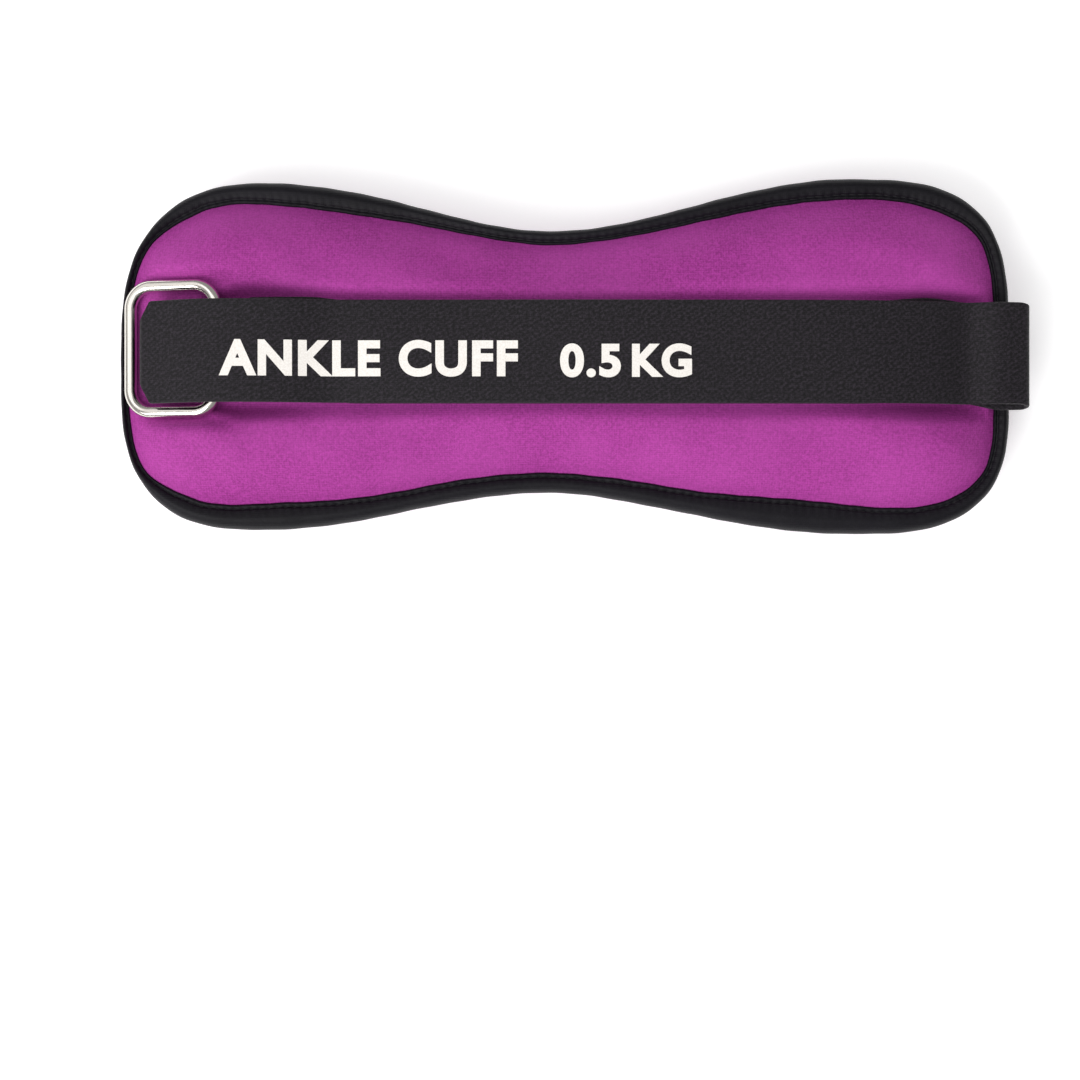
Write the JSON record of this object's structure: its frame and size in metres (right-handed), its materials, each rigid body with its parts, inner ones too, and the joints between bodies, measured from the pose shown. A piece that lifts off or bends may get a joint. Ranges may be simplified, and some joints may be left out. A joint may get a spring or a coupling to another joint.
{
  "type": "ankle cuff weight",
  "caption": "Hourglass ankle cuff weight: a two-lobed sand-filled neoprene pad with padded edge binding, a webbing strap folded over its front and a wire ring sewn on in a tab.",
  "frame": {"origin": "middle of the cuff in plan, at the height its ankle side rests on", "axes": "+X along the pad from the ring's end to the strap's fold, +Y across the pad, +Z out of the outer face that shows the strap"},
  "size_m": [0.2248, 0.0886, 0.029],
  "materials": {
    "purple_neoprene": "knit jersey laminated to foam rubber",
    "black_binding": "smooth knit over soft foam",
    "black_webbing": "fine twill polyester",
    "black_thread": "bonded polyester thread",
    "iron_sand": "dull grains",
    "nickel_wire": "bright nickel plate",
    "loop_pile": "brushed loop pile",
    "hook_tape": "moulded hooks",
    "white_print": "flexible transfer print"
  },
  "bodies": {
    "pad_left_end": {"outer_cover_1": "purple_neoprene", "ankle_cover_1": "purple_neoprene", "edge_binding_1": "black_binding", "iron_sand_1": "iron_sand", "seam_thread_1": "black_thread", "base_webbing_1": "black_webbing", "ring_tab": "black_webbing", "tab_bartack": "black_thread"},
    "pad_left_inner": {"outer_cover_2": "purple_neoprene", "ankle_cover_2": "purple_neoprene", "edge_binding_2": "black_binding", "iron_sand_2": "iron_sand", "seam_thread_2": "black_thread", "base_webbing_2": "black_webbing"},
    "pad_middle": {"outer_cover_3": "purple_neoprene", "ankle_cover_3": "purple_neoprene", "edge_binding_3": "black_binding", "iron_sand_3": "iron_sand", "seam_thread_3": "black_thread", "base_webbing_3": "black_webbing"},
    "pad_right_inner": {"outer_cover_4": "purple_neoprene", "ankle_cover_4": "purple_neoprene", "edge_binding_4": "black_binding", "iron_sand_4": "iron_sand", "seam_thread_4": "black_thread", "base_webbing_4": "black_webbing"},
    "pad_right_end": {"outer_cover_5": "purple_neoprene", "ankle_cover_5": "purple_neoprene", "edge_binding_5": "black_binding", "iron_sand_5": "iron_sand", "seam_thread_5": "black_thread", "base_webbing_5": "black_webbing"},
    "ring": {"ring": "nickel_wire"},
    "strap_root": {"strap_root": "black_webbing", "loop_patch_root": "loop_pile"},
    "strap_middle": {"strap_middle": "black_webbing", "loop_patch_middle": "loop_pile", "weight_mark": "white_print"},
    "strap_tip": {"strap_tip": "black_webbing", "loop_patch_tip": "loop_pile", "hook_patch": "hook_tape", "word_mark": "white_print"}
  },
  "joints": [
    {"name": "wrap_right", "type": "hinge", "parent": "pad_middle", "child": "pad_right_inner", "pos_m": [0.0205, 0, 0], "axis": [0, 1, 0], "range_deg": [0, 62]},
    {"name": "wrap_right_end", "type": "hinge", "parent": "pad_right_inner", "child": "pad_right_end", "pos_m": [0.065, 0, 0], "axis": [0, 1, 0], "range_deg": [0, 62]},
    {"name": "wrap_left", "type": "hinge", "parent": "pad_middle", "child": "pad_left_inner", "pos_m": [-0.024, 0, 0], "axis": [0, -1, 0], "range_deg": [0, 62]},
    {"name": "wrap_left_end", "type": "hinge", "parent": "pad_left_inner", "child": "pad_left_end", "pos_m": [-0.0685, 0, 0], "axis": [0, -1, 0], "range_deg": [0, 62]},
    {"name": "strap_open", "type": "hinge", "parent": "pad_right_end", "child": "strap_root", "pos_m": [0.11035, 0, 0.0193], "axis": [0, 1, 0], "range_deg": [0, 180]},
    {"name": "strap_curl", "type": "hinge", "parent": "strap_root", "child": "strap_middle", "pos_m": [0.036, 0, 0.02633], "axis": [0, 1, 0], "range_deg": [0, 30]},
    {"name": "strap_curl_tip", "type": "hinge", "parent": "strap_middle", "child": "strap_tip", "pos_m": [-0.008, 0, 0.02635], "axis": [0, 1, 0], "range_deg": [0, 30]},
    {"name": "ring_swing", "type": "hinge", "parent": "pad_left_end", "child": "ring", "pos_m": [-0.087, 0, 0.02322], "axis": [0, 1, 0], "range_deg": [0, 150]}
  ],
  "couplings": [
    {"joint": "wrap_right_end", "follows": "wrap_right", "ratio": 1},
    {"joint": "wrap_left", "follows": "wrap_right", "ratio": 1},
    {"joint": "wrap_left_end", "follows": "wrap_right", "ratio": 1},
    {"joint": "strap_curl_tip", "follows": "strap_curl", "ratio": 1}
  ]
}
